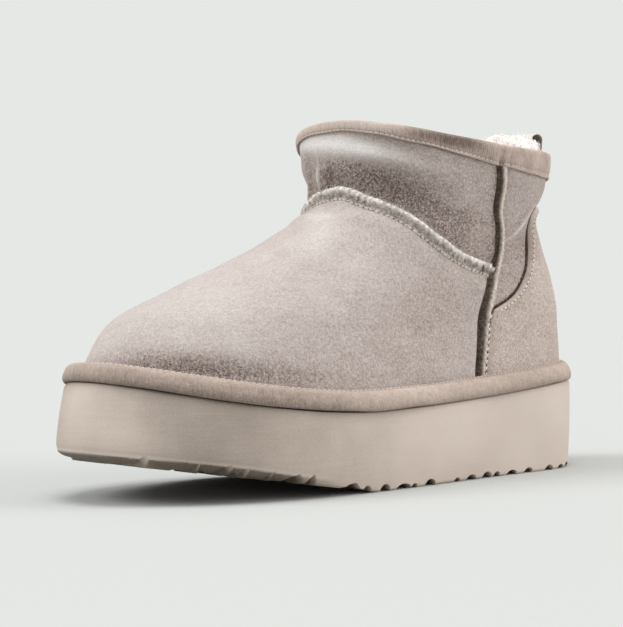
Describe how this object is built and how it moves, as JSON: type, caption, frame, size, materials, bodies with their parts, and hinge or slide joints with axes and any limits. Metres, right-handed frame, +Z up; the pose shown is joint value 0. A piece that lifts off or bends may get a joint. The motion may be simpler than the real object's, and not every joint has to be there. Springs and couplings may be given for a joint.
{
  "type": "sheepskin boot",
  "caption": "Short sheepskin boot for the left foot: suede outside, wool inside, low open collar with a pull loop, heel counter, rolled welt and thick lugged platform sole.",
  "frame": {"origin": "under the centre of the boot's bounding box, on the floor it stands on", "axes": "+X from heel to toe, +Y to the outer side of the left foot, +Z up"},
  "size_m": [0.281, 0.1216, 0.1755],
  "materials": {
    "suede": "napped suede, light greyish beige",
    "collar_tape": "matte brushed tape",
    "welt_tape": "matte ribbed strip",
    "wool": "deep curly pile",
    "sole_foam": "matte moulded foam"
  },
  "bodies": {
    "root": {"outsole": "sole_foam", "midsole": "sole_foam", "insole": "wool", "upper": "suede", "welt": "welt_tape", "heel_counter": "suede", "heel_patch": "sole_foam", "collar_binding": "collar_tape", "pull_loop": "collar_tape"}
  },
  "joints": []
}
